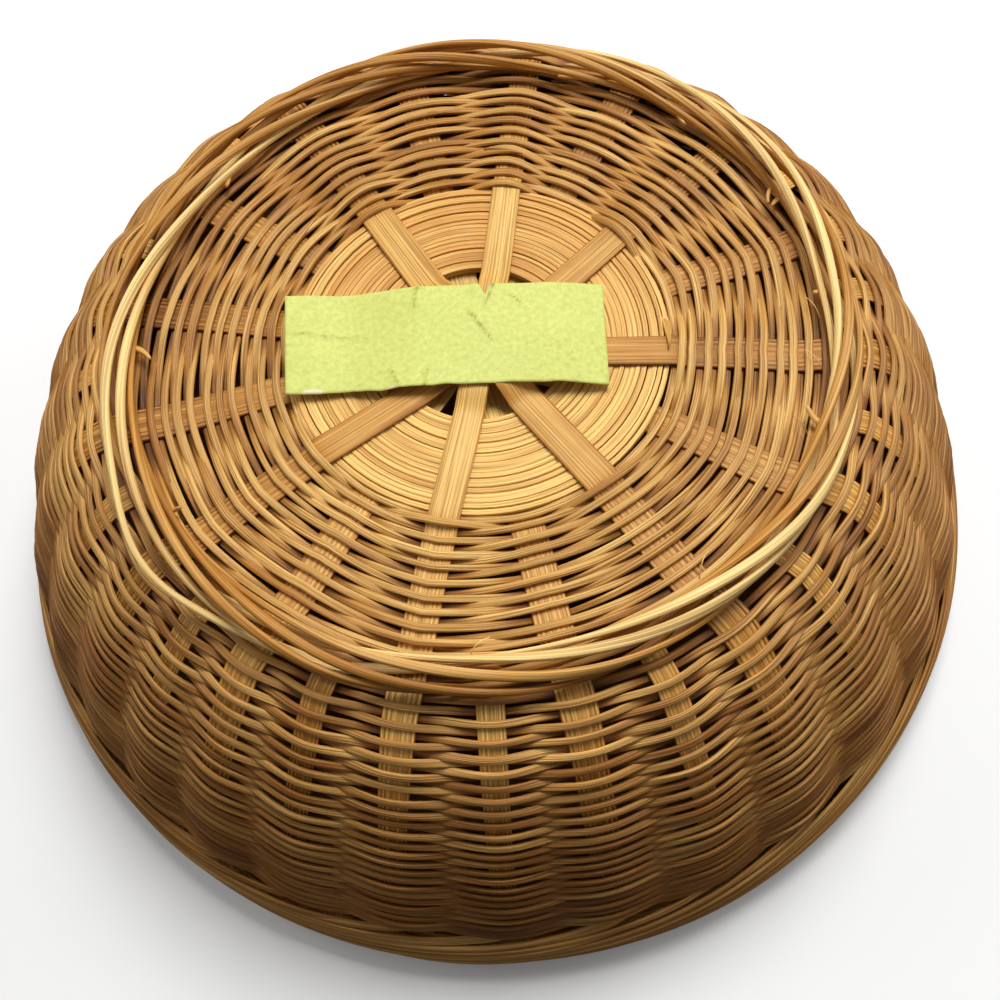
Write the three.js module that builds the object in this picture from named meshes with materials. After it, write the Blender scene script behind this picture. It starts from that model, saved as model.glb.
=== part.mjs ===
// A shallow round bamboo basket, mouth down with its foot ring up, as it is stored.
// Millimetres, +Z up. The mouth's plane is z = 0 and the basket's axis is Z.
import * as THREE from 'three';

// The woven wall's middle surface: a flat base, then a side that curves down to the mouth.
const mouthRadius = 147.2;
const baseRadius = 97;
const baseHeight = 94;
const sideBulge = 1.27; // 1 gives a quarter ellipse, 2 gives a straight cone
const clearance = 0.3; // between pieces that touch on the real basket

// Eight long strips cross at the hub, and their ends are the sixteen wide stakes of the side.
const stripCount = 8;
const stripPhase = -13; // degrees from +X to the first strip
const stripWidth = 10.5;
const stripEndWidth = 9; // at the mouth
const stripThickness = 0.8;
const stripFall = 6.5; // length over which a strip drops from the disc into the weave

// A narrower stake is pushed in between each two wide ones, outside the foot ring.
const stakeWidth = 7.8;
const stakeEndWidth = 7;
const stakeThickness = 0.8;

// The disc is one flat splint, wound on edge round the crossing of the strips.
const discRadius = 50;
const discHoleRadius = 23.5;
const discHeight = 2.4;
const discTurns = 16;
const discTurnGap = 0.5;

// Two weavers follow each other round the base, and two more round the side.
const baseRows = 12;
const baseWeaverWidth = 3;
const sideRows = 20;
const sideWeaverWidth = 3.9;
const weaverThickness = 1.2;
const weaveSlack = 0.45; // between a weaver and the strip it crosses
const weaveStep = 1.2; // from the base's last row to the side's first

// The foot is a loose rope of cane strands laid on the base.
const footInset = 4.1; // the rope's middle, inside the base's edge
const footStrands = 5;
const footStrandRadius = 1.4;
const footCoreRadius = 1.2;
const footSpread = 5; // strand centres, sideways from the rope's middle
const footRise = 3.2; // strand centres, up from the rope's middle
const footTwists = 3;

// The rim is a taller rope under the ends of the stakes.
const ropeInset = 1.8; // the rope's middle, inside the wall's at the mouth
const ropeStrands = 5;
const ropeStrandRadius = 1.65;
const ropeCoreRadius = 1.2;
const ropeSpread = 3.3;
const ropeRise = 6.2;
const ropeTwists = 4;
const strandGap = 5; // between the two ends of a strand
const strandSides = 5;
const restFlat = 0.5; // depth of the flats that the basket stands on

// A slip of paper glued across the hub.
const labelLength = 85;
const labelWidth = 30.5;
const labelThickness = 0.3;
const labelCentre = new THREE.Vector2(-8.9, -1.1);
const labelTurn = -3.9; // degrees

const discStepsPerTurn = 24;
const sideSteps = 10;
const stepGrowth = 1.4; // shorter steps at the shoulder, where the wall bends most
const footSteps = 36;
const ropeSteps = 48;

const up = new THREE.Vector3(0, 0, 1);
const spokeCount = 2 * stripCount;
const stakeCount = 2 * spokeCount;
const stakeAngle = 2 * Math.PI / stakeCount;
const firstAngle = THREE.MathUtils.degToRad(stripPhase);
const weaverRise = stripThickness / 2 + weaveSlack + weaverThickness / 2;

class SideCurve extends THREE.Curve {
  // radius in x and height in y, from the base's edge to the mouth
  getPoint(t, target = new THREE.Vector2()) {
    const turn = t * Math.PI / 2;
    const reach = (mouthRadius - baseRadius) * Math.sin(turn) ** sideBulge;
    return target.set(baseRadius + reach, baseHeight * Math.cos(turn) ** sideBulge);
  }
}
const sideCurve = new SideCurve();
sideCurve.arcLengthDivisions = 400;
const mouthTravel = baseRadius + sideCurve.getLength();

// Middle surface at a distance along it from the axis: radius, height and downhill direction.
function wallAt(travel) {
  if (travel <= baseRadius) {
    return { radius: travel, height: baseHeight, downhill: new THREE.Vector2(1, 0) };
  }
  const share = Math.min((travel - baseRadius) / (mouthTravel - baseRadius), 1);
  const point = sideCurve.getPointAt(share);
  return { radius: point.x, height: point.y, downhill: sideCurve.getTangentAt(share) };
}

function outward(angle) {
  return new THREE.Vector3(Math.cos(angle), Math.sin(angle), 0);
}

// Place and directions on the wall at one angle, raised off the middle surface by lift.
function wallFrame(travel, angle, lift, tilt = 0) {
  const wall = wallAt(travel);
  const radial = outward(angle);
  const down = wall.downhill.clone().rotateAround(new THREE.Vector2(), tilt);
  const along = radial.clone().multiplyScalar(down.x).addScaledVector(up, down.y);
  const normal = radial.clone().multiplyScalar(-down.y).addScaledVector(up, down.x);
  const level = radial.clone().multiplyScalar(-wall.downhill.y).addScaledVector(up, wall.downhill.x);
  const centre = radial.clone().multiplyScalar(wall.radius).setZ(wall.height);
  centre.addScaledVector(level, lift);
  return { centre, along, normal, around: new THREE.Vector3().crossVectors(up, radial) };
}

// One closed body through rings of points, capped at both ends or joined into a hoop.
function loft(rings, hoop = false) {
  const sides = rings[0].length;
  const points = rings.flat();
  const faces = [];
  const spans = hoop ? rings.length : rings.length - 1;
  for (let i = 0; i < spans; i += 1) {
    const here = i * sides;
    const next = ((i + 1) % rings.length) * sides;
    for (let j = 0; j < sides; j += 1) {
      const k = (j + 1) % sides;
      faces.push([here + j, here + k, next + k], [here + j, next + k, next + j]);
    }
  }
  const last = (rings.length - 1) * sides;
  for (let j = 1; !hoop && j < sides - 1; j += 1) {
    faces.push([0, j + 1, j], [last, last + j, last + j + 1]);
  }
  let volume = 0;
  const cross = new THREE.Vector3();
  for (const [a, b, c] of faces) {
    volume += points[a].dot(cross.crossVectors(points[b], points[c]));
  }
  const facing = volume > 0 ? faces : faces.map(([a, b, c]) => [a, c, b]);
  const geometry = new THREE.BufferGeometry().setFromPoints(points);
  geometry.setIndex(facing.flat());
  geometry.computeVertexNormals();
  return geometry;
}

function flatRing(centre, across, normal, width, thickness) {
  const corners = [[1, 1], [-1, 1], [-1, -1], [1, -1]];
  return corners.map(([x, y]) => centre.clone()
    .addScaledVector(across, x * width / 2)
    .addScaledVector(normal, y * thickness / 2));
}

// Ring of a round strand in the plane through the axis, with one flat side down or up.
function strandRing(radius, height, angle, strandRadius, flatUp) {
  const radial = outward(angle);
  return Array.from({ length: strandSides }, (_, j) => {
    const turn = Math.PI / 2 + 2 * Math.PI * j / strandSides;
    const rise = strandRadius * Math.sin(turn) * (flatUp ? -1 : 1);
    return radial.clone()
      .multiplyScalar(radius + strandRadius * Math.cos(turn))
      .setZ(height + rise);
  });
}

const basket = new THREE.Group();

function addPiece(name, geometry, color, roughness) {
  const material = new THREE.MeshStandardMaterial({ color, roughness, metalness: 0 });
  const mesh = new THREE.Mesh(geometry, material);
  mesh.name = name;
  basket.add(mesh);
}

const paleBamboo = 0xd9b06a;
const honeyBamboo = 0xb98344;
const brownBamboo = 0xa06c34;
const strawCane = 0xdcb268;
const greenPaper = 0xb9c47c;

// Strips. Even ones lie on the disc's upper face, odd ones under it, and at the hub each
// of the four on one face lies on the one before.
const seatRise = (discHeight + stripThickness) / 2 + clearance;
const hubRadius = stripWidth / 2 / Math.sin(Math.PI / stripCount) + 1.5;
const fallStart = discRadius + clearance;

function stripLift(strip, travel) {
  const face = strip % 2 === 0 ? 1 : -1;
  const layer = Math.floor(strip / 2) * (stripThickness + clearance);
  const climb = THREE.MathUtils.clamp(
    (discHoleRadius - travel) / (discHoleRadius - hubRadius), 0, 1);
  const seated = THREE.MathUtils.clamp((fallStart + stripFall - travel) / stripFall, 0, 1);
  return face * (seatRise * seated + layer * climb);
}

function taper(width, endWidth, travel) {
  const share = Math.max(travel - baseRadius, 0) / (mouthTravel - baseRadius);
  return THREE.MathUtils.lerp(width, endWidth, share);
}

// The rope's strands are cut flat where they would pass below the mouth's plane.
const strandFlat = Math.cos(Math.PI / strandSides);
const ropeHeight = ropeRise + ropeStrandRadius * strandFlat - restFlat;
const ropeTop = ropeHeight + ropeRise + ropeStrandRadius;
const stakeEnd = mouthTravel - ropeTop - clearance;

const sideStart = baseRadius + (baseWeaverWidth / 2 + clearance);
const sideTravels = Array.from({ length: sideSteps + 1 }, (_, i) =>
  THREE.MathUtils.lerp(sideStart, stakeEnd, (i / sideSteps) ** stepGrowth));

for (let strip = 0; strip < stripCount; strip += 1) {
  const half = [hubRadius, discHoleRadius, fallStart, fallStart + stripFall, ...sideTravels];
  const travels = [...half.map((travel) => -travel).reverse(), 0, ...half];
  const angle = firstAngle + strip * Math.PI / stripCount;
  const rings = travels.map((travel) => {
    const away = Math.abs(travel);
    const way = travel < 0 ? -1 : 1;
    const turned = travel < 0 ? angle + Math.PI : angle;
    const frame = wallFrame(away, turned, stripLift(strip, away));
    const width = taper(stripWidth, stripEndWidth, away);
    return flatRing(frame.centre, frame.around.multiplyScalar(way), frame.normal,
      width, stripThickness);
  });
  const face = strip % 2 === 0 ? 'outer' : 'inner';
  addPiece(`${face}_strip_${Math.floor(strip / 2) + 1}`, loft(rings), paleBamboo, 0.5);
}

for (let spoke = 0; spoke < spokeCount; spoke += 1) {
  const angle = firstAngle + (2 * spoke + 1) * stakeAngle;
  const rings = sideTravels.map((travel) => {
    const frame = wallFrame(travel, angle, 0);
    return flatRing(frame.centre, frame.around, frame.normal,
      taper(stakeWidth, stakeEndWidth, travel), stakeThickness);
  });
  addPiece(`side_stake_${spoke + 1}`, loft(rings), paleBamboo, 0.5);
}

// Wound disc: an unbroken splint whose turns each grow by the same step.
const discStep = (discRadius - discHoleRadius) / (discTurns + 1);
const splintThickness = discStep - discTurnGap;
const discRings = [];
const discPath = [];
for (let i = 0; i <= discTurns * discStepsPerTurn; i += 1) {
  const turns = i / discStepsPerTurn;
  const radial = outward(turns * 2 * Math.PI);
  const radius = discHoleRadius + discStep * (turns + 0.5);
  const centre = radial.clone().multiplyScalar(radius).setZ(baseHeight);
  discPath.push(centre);
  discRings.push(flatRing(centre, radial, up, splintThickness, discHeight));
}
addPiece('wound_disc', loft(discRings), paleBamboo, 0.5);

let leastGap = Infinity;
for (let i = 0; i < discPath.length; i += 1) {
  for (let j = i + discStepsPerTurn - 1; j < discPath.length; j += 1) {
    leastGap = Math.min(leastGap, discPath[i].distanceTo(discPath[j]) - splintThickness);
  }
}
console.log(`least gap between the disc's turns: ${leastGap.toFixed(2)} mm`);

// Base weave: each weaver passes over one strip and under the next, in a spiral.
const baseWeaveStart = discRadius + clearance + baseWeaverWidth / 2 + stripThickness;
const baseRowPitch = (baseRadius - baseWeaveStart) / baseRows;

for (const weaver of [0, 1]) {
  const rings = [];
  for (let passed = 0; passed <= baseRows / 2 * spokeCount; passed += 1) {
    const spoke = passed + weaver * spokeCount / 2;
    const strip = spoke % stripCount;
    const face = spoke % 2 === weaver ? 1 : -1;
    const travel = baseWeaveStart + 2 * baseRowPitch * passed / spokeCount;
    const lift = stripLift(strip, travel);
    const ends = [travel - baseWeaverWidth / 2, travel + baseWeaverWidth / 2];
    const [inner, outer] = ends.map((end) => stripLift(strip, end));
    const tilt = Math.atan2(outer - inner, baseWeaverWidth);
    const halfSpan = Math.atan2(stripWidth / 2 + clearance, travel);
    for (const edge of [-halfSpan, halfSpan]) {
      const angle = firstAngle + 2 * spoke * stakeAngle + edge;
      const frame = wallFrame(travel, angle, lift + face * weaverRise, tilt);
      rings.push(flatRing(frame.centre, frame.along, frame.normal,
        baseWeaverWidth, weaverThickness));
    }
  }
  addPiece(`base_weaver_${weaver + 1}`, loft(rings), honeyBamboo, 0.6);
}

// Side weave: the same spiral over thirty-two stakes. A weaver is raised enough at the
// middle of a stake to clear its edges on the straight run to the next one.
function sideLift(travel, face) {
  const { radius, downhill } = wallAt(travel);
  const halfStake = taper(stripWidth, stripEndWidth, travel) / 2;
  const share = halfStake / (radius * stakeAngle);
  const swing = 2 * weaverRise / (1 - 2 * share);
  const chordDrop = halfStake * stakeAngle / 2 * -downhill.y;
  return face * (weaverRise + share * swing) + chordDrop;
}

const sideWeaveStart = baseRadius + baseWeaverWidth / 2 + weaveStep + sideWeaverWidth / 2;
const sideWeaveEnd = stakeEnd - sideWeaverWidth / 2;
const sideRowPitch = (sideWeaveEnd - sideWeaveStart) / sideRows;

for (const weaver of [0, 1]) {
  const rings = [];
  for (let passed = 0; passed <= sideRows / 2 * stakeCount; passed += 1) {
    const stake = passed + weaver * stakeCount / 2;
    const face = stake % 2 === weaver ? 1 : -1;
    const travel = sideWeaveStart + 2 * sideRowPitch * passed / stakeCount;
    const frame = wallFrame(travel, firstAngle + stake * stakeAngle, sideLift(travel, face));
    rings.push(flatRing(frame.centre, frame.along, frame.normal,
      sideWeaverWidth, weaverThickness));
  }
  addPiece(`side_weaver_${weaver + 1}`, loft(rings), brownBamboo, 0.6);
}

// A strand runs nearly once round, winding about the rope's middle as it goes. With a hand
// of 1 it climbs on the rope's outer side, and with -1 on its inner side.
function ropeStrand(rope, start) {
  const gapAngle = strandGap / rope.radius;
  const rings = [];
  for (let i = 0; i <= rope.steps; i += 1) {
    const travelled = gapAngle / 2 + (2 * Math.PI - gapAngle) * i / rope.steps;
    const lay = start + rope.twists * travelled;
    const radius = rope.radius + rope.hand * rope.spread * Math.cos(lay);
    const height = rope.height + rope.rise * Math.sin(lay);
    const ring = strandRing(radius, height, start + travelled, rope.strandRadius, rope.flatUp);
    ring.forEach((point) => point.setZ(THREE.MathUtils.clamp(point.z, rope.floor, rope.ceiling)));
    rings.push(ring);
  }
  return loft(rings);
}

function ropeCore(rope, coreRadius) {
  const rings = Array.from({ length: rope.steps }, (_, i) =>
    strandRing(rope.radius, rope.height, 2 * Math.PI * i / rope.steps, coreRadius, rope.flatUp));
  return loft(rings, true);
}

const footBottom = baseHeight + weaverRise + weaverThickness / 2 + clearance;
const footHeight = footBottom + footStrandRadius + footRise;
const foot = {
  radius: baseRadius - footInset,
  height: footHeight,
  hand: -1,
  spread: footSpread,
  rise: footRise,
  strandRadius: footStrandRadius,
  twists: footTwists,
  steps: footSteps,
  flatUp: true,
  floor: footBottom,
  ceiling: footHeight + footRise + footStrandRadius * strandFlat - restFlat,
};
const rope = {
  radius: mouthRadius - ropeInset,
  height: ropeHeight,
  hand: 1,
  spread: ropeSpread,
  rise: ropeRise,
  strandRadius: ropeStrandRadius,
  twists: ropeTwists,
  steps: ropeSteps,
  flatUp: false,
  floor: 0,
  ceiling: ropeTop,
};

addPiece('foot_core', ropeCore(foot, footCoreRadius), strawCane, 0.45);
for (let strand = 0; strand < footStrands; strand += 1) {
  const start = 2 * Math.PI * strand / footStrands;
  addPiece(`foot_strand_${strand + 1}`, ropeStrand(foot, start), strawCane, 0.45);
}
addPiece('rim_core', ropeCore(rope, ropeCoreRadius), honeyBamboo, 0.5);
for (let strand = 0; strand < ropeStrands; strand += 1) {
  const start = 2 * Math.PI * strand / ropeStrands;
  addPiece(`rim_strand_${strand + 1}`, ropeStrand(rope, start), honeyBamboo, 0.5);
}

// The label bridges the crossing of the strips and comes down to them at both ends.
const stripTop = baseHeight + seatRise + stripThickness / 2 + clearance;
const hubTop = stripTop + (stripCount / 2 - 1) * (stripThickness + clearance);
const labelAngle = THREE.MathUtils.degToRad(labelTurn);
const labelAlong = outward(labelAngle);
const labelAcross = outward(labelAngle + Math.PI / 2);
const labelMiddle = new THREE.Vector3(labelCentre.x, labelCentre.y, 0);
const hubAlong = -labelMiddle.dot(labelAlong);
const labelRings = [
  [-labelLength / 2, stripTop],
  [hubAlong - discHoleRadius, stripTop],
  [hubAlong - hubRadius, hubTop],
  [hubAlong + hubRadius, hubTop],
  [hubAlong + discHoleRadius, stripTop],
  [labelLength / 2, stripTop],
].map(([along, seat]) => {
  const centre = labelMiddle.clone().addScaledVector(labelAlong, along);
  centre.z = seat + labelThickness / 2;
  return flatRing(centre, labelAcross, up, labelWidth, labelThickness);
});
addPiece('label', loft(labelRings), greenPaper, 0.8);

export default basket;
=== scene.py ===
import math

import bpy
import numpy as np
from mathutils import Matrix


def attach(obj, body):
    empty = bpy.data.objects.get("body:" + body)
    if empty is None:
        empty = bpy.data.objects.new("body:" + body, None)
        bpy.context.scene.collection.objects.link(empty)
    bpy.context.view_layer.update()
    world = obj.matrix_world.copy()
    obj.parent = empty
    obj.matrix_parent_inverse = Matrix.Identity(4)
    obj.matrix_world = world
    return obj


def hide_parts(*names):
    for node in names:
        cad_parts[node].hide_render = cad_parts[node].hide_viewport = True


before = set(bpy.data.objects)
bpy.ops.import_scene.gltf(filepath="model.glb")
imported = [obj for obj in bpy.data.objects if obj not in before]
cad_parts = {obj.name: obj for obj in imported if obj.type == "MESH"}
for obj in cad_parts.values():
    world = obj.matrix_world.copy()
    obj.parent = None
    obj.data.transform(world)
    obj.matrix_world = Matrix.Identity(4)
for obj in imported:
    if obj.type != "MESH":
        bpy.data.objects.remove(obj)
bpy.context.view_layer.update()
print("frame loaded:", len(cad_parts), "nodes")

# Everything below is worked out in millimetres and turned into metres as a mesh is made.
mm = 0.001
rng = np.random.default_rng(11)
up = np.array([0.0, 0.0, 1.0])

# Travel is the way along the woven wall from the base's middle, out and then down.
wall = {  # the wall's middle surface, mouth down
    "mouthRadius": 147.2,
    "baseRadius": 97.0,
    "baseHeight": 94.0,
    "bulge": 1.27,
    "swells": (1.6, 3.6, 4.0, 3.4, 3.0, 2.3, 1.2, 0.4, 0, 0, 0, 0.5),
    "swellTravel": (86, 99, 150),
    "turns": (2.1, 1.5, 0.4, 0, 0, -0.2, -0.9, -1.3, -1.5, 0.2, 1.3, 2.5),
    "turnTravel": (84, 104),
}
lattice = {  # eight strips across, so sixteen spokes, and a stake between each two on the side
    "strips": 8,
    "firstAngle": math.radians(-13),
}
spokes = 2 * lattice["strips"]
stakes = 2 * spokes
stakeAngle = 2 * math.pi / stakes


def wallProfile():
    turn = np.linspace(0, math.pi / 2, 1500)
    reach = (wall["mouthRadius"] - wall["baseRadius"]) * np.sin(turn) ** wall["bulge"]
    radius = np.append(0, wall["baseRadius"] + reach)
    height = np.append(wall["baseHeight"], wall["baseHeight"] * np.cos(turn) ** wall["bulge"])
    travel = np.append(0, np.cumsum(np.hypot(np.diff(radius), np.diff(height))))
    return travel, radius, height, np.gradient(radius, travel), np.gradient(height, travel)


wallTravel, wallRadius, wallHeight, wallReach, wallFall = wallProfile()


def aroundBy(values, angle):  # a soft course through values that stand every 30 degrees
    knot = np.degrees(angle) / 30 % 12
    low = np.floor(knot).astype(int)
    mix = (1 - np.cos(math.pi * (knot - low))) / 2
    values = np.append(values, values[0])
    return values[low % 12] * (1 - mix) + values[low % 12 + 1] * mix


def column(values):
    return np.asarray(values, float)[:, None]


def unit(vectors):
    return vectors / np.linalg.norm(vectors, axis=1, keepdims=True)


def outward(angle):
    return np.stack([np.cos(angle), np.sin(angle), 0 * angle], 1)


def lateTurn(angle, travel):  # the whole lattice turns a little as it goes down the side
    share = np.interp(travel, wall["turnTravel"], (0, 1))
    return np.radians(aroundBy(wall["turns"], angle)) * share


def onWall(travel, angle, lift):  # points on the wall, its downhill direction and its normal
    radius = np.interp(travel, wallTravel, wallRadius)
    height = np.interp(travel, wallTravel, wallHeight)
    reach = column(np.interp(travel, wallTravel, wallReach))
    fall = column(np.interp(travel, wallTravel, wallFall))
    radius = radius + aroundBy(wall["swells"], angle) * np.interp(
        travel, wall["swellTravel"], (0, 1, 0))
    radial = outward(angle + lateTurn(angle, travel))
    downhill = unit(radial * reach + up * fall)
    normal = unit(up * reach - radial * fall)
    points = radial * column(radius) + up * column(height) + normal * column(lift)
    return points, downhill, normal


def smooth(share):
    share = np.clip(share, 0, 1)
    return share * share * (3 - 2 * share)


def wander(place, amount, every=1.0):  # soft random drift along a strand
    knot = np.asarray(place) / every
    low = np.floor(knot).astype(int)
    mix = smooth(knot - low)
    values = rng.normal(0, amount, low.max() + 2)
    return values[low] * (1 - mix) + values[low + 1] * mix


def spline(controls, count):  # a soft curve through rows of numbers
    controls = np.asarray(controls, float)
    before = 2 * controls[0] - controls[1]
    after = 2 * controls[-1] - controls[-2]
    padded = np.vstack([before, controls, after])
    place = np.linspace(0, len(controls) - 1, count)
    span = np.minimum(place.astype(int), len(controls) - 2)
    t = column(place - span)
    a, b, c, d = (padded[span + k] for k in range(4))
    return 0.5 * (2 * b + (c - a) * t + (2 * a - 5 * b + 4 * c - d) * t ** 2
                  + (3 * b - a - 3 * c + d) * t ** 3)


def oval(sides, squareness):  # a splint's section: 2 is an ellipse, more is flatter
    turn = (np.arange(sides) + 0.5) * 2 * math.pi / sides
    across, high = np.cos(turn), np.sin(turn)
    bend = 2 / squareness
    return np.stack([np.sign(across) * np.abs(across) ** bend,
                     np.sign(high) * np.abs(high) ** bend], 1)


def sweep(centre, normal, width, thickness, section, tone):  # a tone for each row of points
    path = unit(np.gradient(centre, axis=0))
    normal = unit(normal - path * (normal * path).sum(1, keepdims=True))
    across = np.cross(path, normal)
    count, sides = len(centre), len(section)
    halfWidth = column(np.broadcast_to(width, count)) / 2 * section[:, 0]
    halfThick = column(np.broadcast_to(thickness, count)) / 2 * section[:, 1]
    points = (centre[:, None] + across[:, None] * halfWidth[:, :, None]
              + normal[:, None] * halfThick[:, :, None])

    ring = np.arange(count - 1)[:, None] * sides
    side = np.arange(sides)
    after = (side + 1) % sides
    quads = np.stack([ring + side, ring + sides + side, ring + sides + after, ring + after], -1)
    half = np.arange(sides // 2 - 1)
    cap = np.stack([half, half + 1, sides - 2 - half, sides - 1 - half], -1)
    quads = np.concatenate([quads.reshape(-1, 4), cap, cap[:, ::-1] + (count - 1) * sides])

    # The grain runs along the strand, in millimetres both ways, from a place of the strand's own.
    run = np.append(0, np.cumsum(np.linalg.norm(np.diff(centre, axis=0), axis=1)))
    run = run + rng.uniform(0, 5000)
    outline = section * (np.mean(width) / 2, np.mean(thickness) / 2)
    edges = np.linalg.norm(np.roll(outline, -1, axis=0) - outline, axis=1)
    girth = np.append(0, np.cumsum(edges)) + rng.uniform(0, 500)
    along = np.stack([run[:-1], run[1:], run[1:], run[:-1]], -1)[:, None]
    about = np.stack([girth[:-1], girth[:-1], girth[1:], girth[1:]], -1)[None]
    grain = np.stack([along.repeat(sides, 1), about.repeat(count - 1, 0)], -1).reshape(-1, 2)
    ends = np.full((2 * cap.size, 2), [run[0], girth[0]])
    return {
        "points": points.reshape(-1, 3),
        "quads": quads,
        "grain": np.concatenate([grain, ends]),
        "tone": np.broadcast_to(tone, (count, sides)).ravel(),
    }


def makePiece(name, strands, material, nodes):
    starts = np.cumsum([0] + [len(strand["points"]) for strand in strands[:-1]])
    points = np.concatenate([strand["points"] for strand in strands]) * mm
    quads = np.concatenate([strand["quads"] + start for strand, start in zip(strands, starts)])
    mesh = bpy.data.meshes.new(name)
    mesh.from_pydata(points, [], quads.tolist())
    grain = mesh.uv_layers.new(name="grain")
    grain.data.foreach_set("uv", np.concatenate([strand["grain"] for strand in strands]).ravel())
    tone = mesh.attributes.new("tone", "FLOAT", "POINT")
    tone.data.foreach_set("value", np.concatenate([strand["tone"] for strand in strands]))
    mesh.shade_smooth()
    mesh.materials.append(material)
    piece = bpy.data.objects.new(name, mesh)
    bpy.context.scene.collection.objects.link(piece)
    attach(piece, "root")
    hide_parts(*nodes)


def linear(red, green, blue):  # a colour as a paint shop gives it, 0 to 255
    values = [value / 255 for value in (red, green, blue)]
    return [value / 12.92 if value <= 0.04045 else ((value + 0.055) / 1.055) ** 2.4
            for value in values] + [1.0]


bamboo = {  # what every bamboo and cane here shares
    "fibreDetail": 3.5,
    "fibreRange": (0.36, 0.64),
    "darkFibre": (0.95, 1.2, 1.5),
    "paleFibre": (0.5, 0.5, 0.4),
    "roughRange": (0.12, -0.08),
    "bumpDepth": 0.0005,
}


# Bamboo: colour from the tone given to each point, which holds the strand's own tone and on some
# pieces painted shade or painted light, fine lengthwise fibres that are browner where they are
# dark, and soft blotches.
def bambooMaterial(name, look):
    material = bpy.data.materials.new(name)
    material.use_nodes = True
    nodes, links = material.node_tree.nodes, material.node_tree.links
    shader = nodes["Principled BSDF"]
    shader.inputs["Specular IOR Level"].default_value = look["gloss"]

    grain = nodes.new("ShaderNodeUVMap")
    grain.uv_map = "grain"
    fibreScale = nodes.new("ShaderNodeMapping")
    fibreScale.inputs["Scale"].default_value = (look["fibreAlong"], look["fibreAcross"], 1)
    links.new(grain.outputs["UV"], fibreScale.inputs["Vector"])
    fibres = nodes.new("ShaderNodeTexNoise")
    fibres.inputs["Scale"].default_value = 1
    fibres.inputs["Detail"].default_value = bamboo["fibreDetail"]
    fibres.inputs["Roughness"].default_value = 0.6
    links.new(fibreScale.outputs["Vector"], fibres.inputs["Vector"])

    place = nodes.new("ShaderNodeTexCoord")
    blotches = nodes.new("ShaderNodeTexNoise")
    blotches.inputs["Scale"].default_value = look["blotchScale"]
    blotches.inputs["Detail"].default_value = 4
    links.new(place.outputs["Object"], blotches.inputs["Vector"])

    tone = nodes.new("ShaderNodeAttribute")
    tone.attribute_name = "tone"
    shifted = nodes.new("ShaderNodeMath")
    shifted.operation = "MULTIPLY_ADD"
    shifted.inputs[1].default_value = look["blotchPull"]
    links.new(blotches.outputs["Fac"], shifted.inputs[0])
    links.new(tone.outputs["Fac"], shifted.inputs[2])
    palette = nodes.new("ShaderNodeValToRGB")
    palette.color_ramp.elements[0].position = 0.1
    palette.color_ramp.elements[0].color = look["dark"]
    palette.color_ramp.elements[1].position = 0.95
    palette.color_ramp.elements[1].color = look["pale"]
    palette.color_ramp.elements.new(0.5).color = look["middle"]
    links.new(shifted.outputs["Value"], palette.inputs["Fac"])

    streaks = nodes.new("ShaderNodeMapRange")
    streaks.inputs["From Min"].default_value = bamboo["fibreRange"][0]
    streaks.inputs["From Max"].default_value = bamboo["fibreRange"][1]
    links.new(fibres.outputs["Fac"], streaks.inputs["Value"])
    stain = nodes.new("ShaderNodeMix")
    stain.data_type = "RGBA"
    stain.inputs["A"].default_value = [1 - look["streaks"] * k for k in bamboo["darkFibre"]] + [1]
    stain.inputs["B"].default_value = [1 + look["streaks"] * k for k in bamboo["paleFibre"]] + [1]
    links.new(streaks.outputs["Result"], stain.inputs["Factor"])
    colour = nodes.new("ShaderNodeVectorMath")
    colour.operation = "MULTIPLY"
    links.new(palette.outputs["Color"], colour.inputs[0])
    links.new(stain.outputs["Result"], colour.inputs[1])
    links.new(colour.outputs["Vector"], shader.inputs["Base Color"])

    rough = nodes.new("ShaderNodeMapRange")
    rough.inputs["To Min"].default_value = look["rough"] + bamboo["roughRange"][0]
    rough.inputs["To Max"].default_value = look["rough"] + bamboo["roughRange"][1]
    links.new(fibres.outputs["Fac"], rough.inputs["Value"])
    links.new(rough.outputs["Result"], shader.inputs["Roughness"])

    bump = nodes.new("ShaderNodeBump")
    bump.inputs["Strength"].default_value = look["relief"]
    bump.inputs["Distance"].default_value = bamboo["bumpDepth"]
    links.new(fibres.outputs["Fac"], bump.inputs["Height"])
    links.new(bump.outputs["Normal"], shader.inputs["Normal"])
    return material


disc = {
    "radius": 50.9,
    "holeRadius": 22.8,
    "turns": 19,
    "steps": 72,
    "height": 2.3,
    "gap": 0.02,
    "uneven": 0.16,
    "splintUneven": 0.1,
    "endWidth": 0.2,
    "step": 0.16,
    "tone": 0.53,
    "paintedLightAround": 0.15,
    "toneSpreads": (0.1, 0.08),
    "paintedLightFacing": math.radians(-92),
}
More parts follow.
